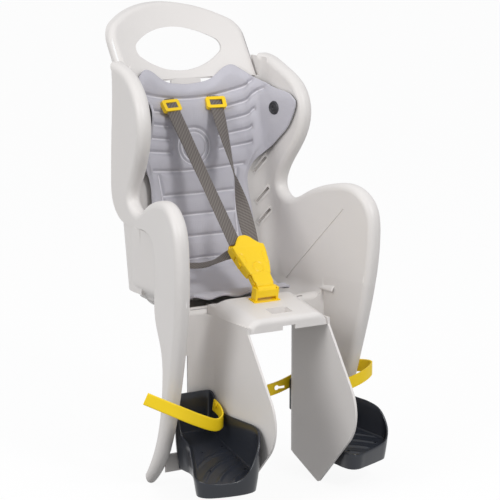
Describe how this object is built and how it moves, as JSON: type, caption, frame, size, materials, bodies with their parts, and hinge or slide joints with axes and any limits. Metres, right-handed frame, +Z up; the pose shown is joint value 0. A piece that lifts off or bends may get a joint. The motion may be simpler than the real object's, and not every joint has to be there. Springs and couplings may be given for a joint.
{
  "type": "child bike seat",
  "caption": "Rear-mounted child bike seat: one moulded shell with head wings, armrests, leg guards and a carrying loop, with a pad, harness, buckle and footrests.",
  "frame": {"origin": "middle of the four carrier bolts on the flat underside of the pan", "axes": "+Z up, -Y to the front of the seat, +X to the viewer's right when the seat is seen from the front"},
  "size_m": [0.4377, 0.529, 0.7796],
  "materials": {
    "shell": "satin",
    "pad": "quilted",
    "snap": "satin",
    "webbing": "woven",
    "yellow_plastic": "satin",
    "strap_rubber": "satin",
    "tray_plastic": "satin",
    "dark_plastic": "satin"
  },
  "bodies": {
    "seat": {"seat_shell": "shell", "seat_pad": "pad", "pad_snap_left": "snap", "pad_snap_right": "snap", "shoulder_strap_left": "webbing", "shoulder_strap_right": "webbing", "harness_bar": "dark_plastic", "waist_anchor": "dark_plastic", "waist_strap": "webbing", "buckle_body": "yellow_plastic", "buckle_tongue": "yellow_plastic", "crotch_clip": "yellow_plastic"},
    "slider_left": {"strap_slider_left": "yellow_plastic"},
    "slider_right": {"strap_slider_right": "yellow_plastic"},
    "button_left": {"buckle_button_left": "yellow_plastic"},
    "button_right": {"buckle_button_right": "yellow_plastic"},
    "footrest_left_group": {"footrest_left": "tray_plastic", "footrest_clamp_left": "dark_plastic", "foot_strap_left": "strap_rubber", "strap_rivet_left": "snap"},
    "footrest_right_group": {"footrest_right": "tray_plastic", "footrest_clamp_right": "dark_plastic", "foot_strap_right": "strap_rubber", "strap_rivet_right": "snap"}
  },
  "joints": [
    {"name": "footrest_left_slide", "type": "slide", "parent": "seat", "child": "footrest_left_group", "axis": [0, 0, 1], "range_m": [0, 0.06]},
    {"name": "footrest_right_slide", "type": "slide", "parent": "seat", "child": "footrest_right_group", "axis": [0, 0, 1], "range_m": [0, 0.06]},
    {"name": "slider_left_slide", "type": "slide", "parent": "seat", "child": "slider_left", "axis": [0.1028, -0.6069, -0.7881], "range_m": [0, 0.1]},
    {"name": "slider_right_slide", "type": "slide", "parent": "seat", "child": "slider_right", "axis": [-0.1028, -0.6069, -0.7881], "range_m": [0, 0.1]},
    {"name": "button_left_press", "type": "slide", "parent": "seat", "child": "button_left", "axis": [1, 0, 0], "range_m": [0, 0.0025], "stiffness_N_per_m": 1500},
    {"name": "button_right_press", "type": "slide", "parent": "seat", "child": "button_right", "axis": [-1, 0, 0], "range_m": [0, 0.0025], "stiffness_N_per_m": 1500}
  ]
}
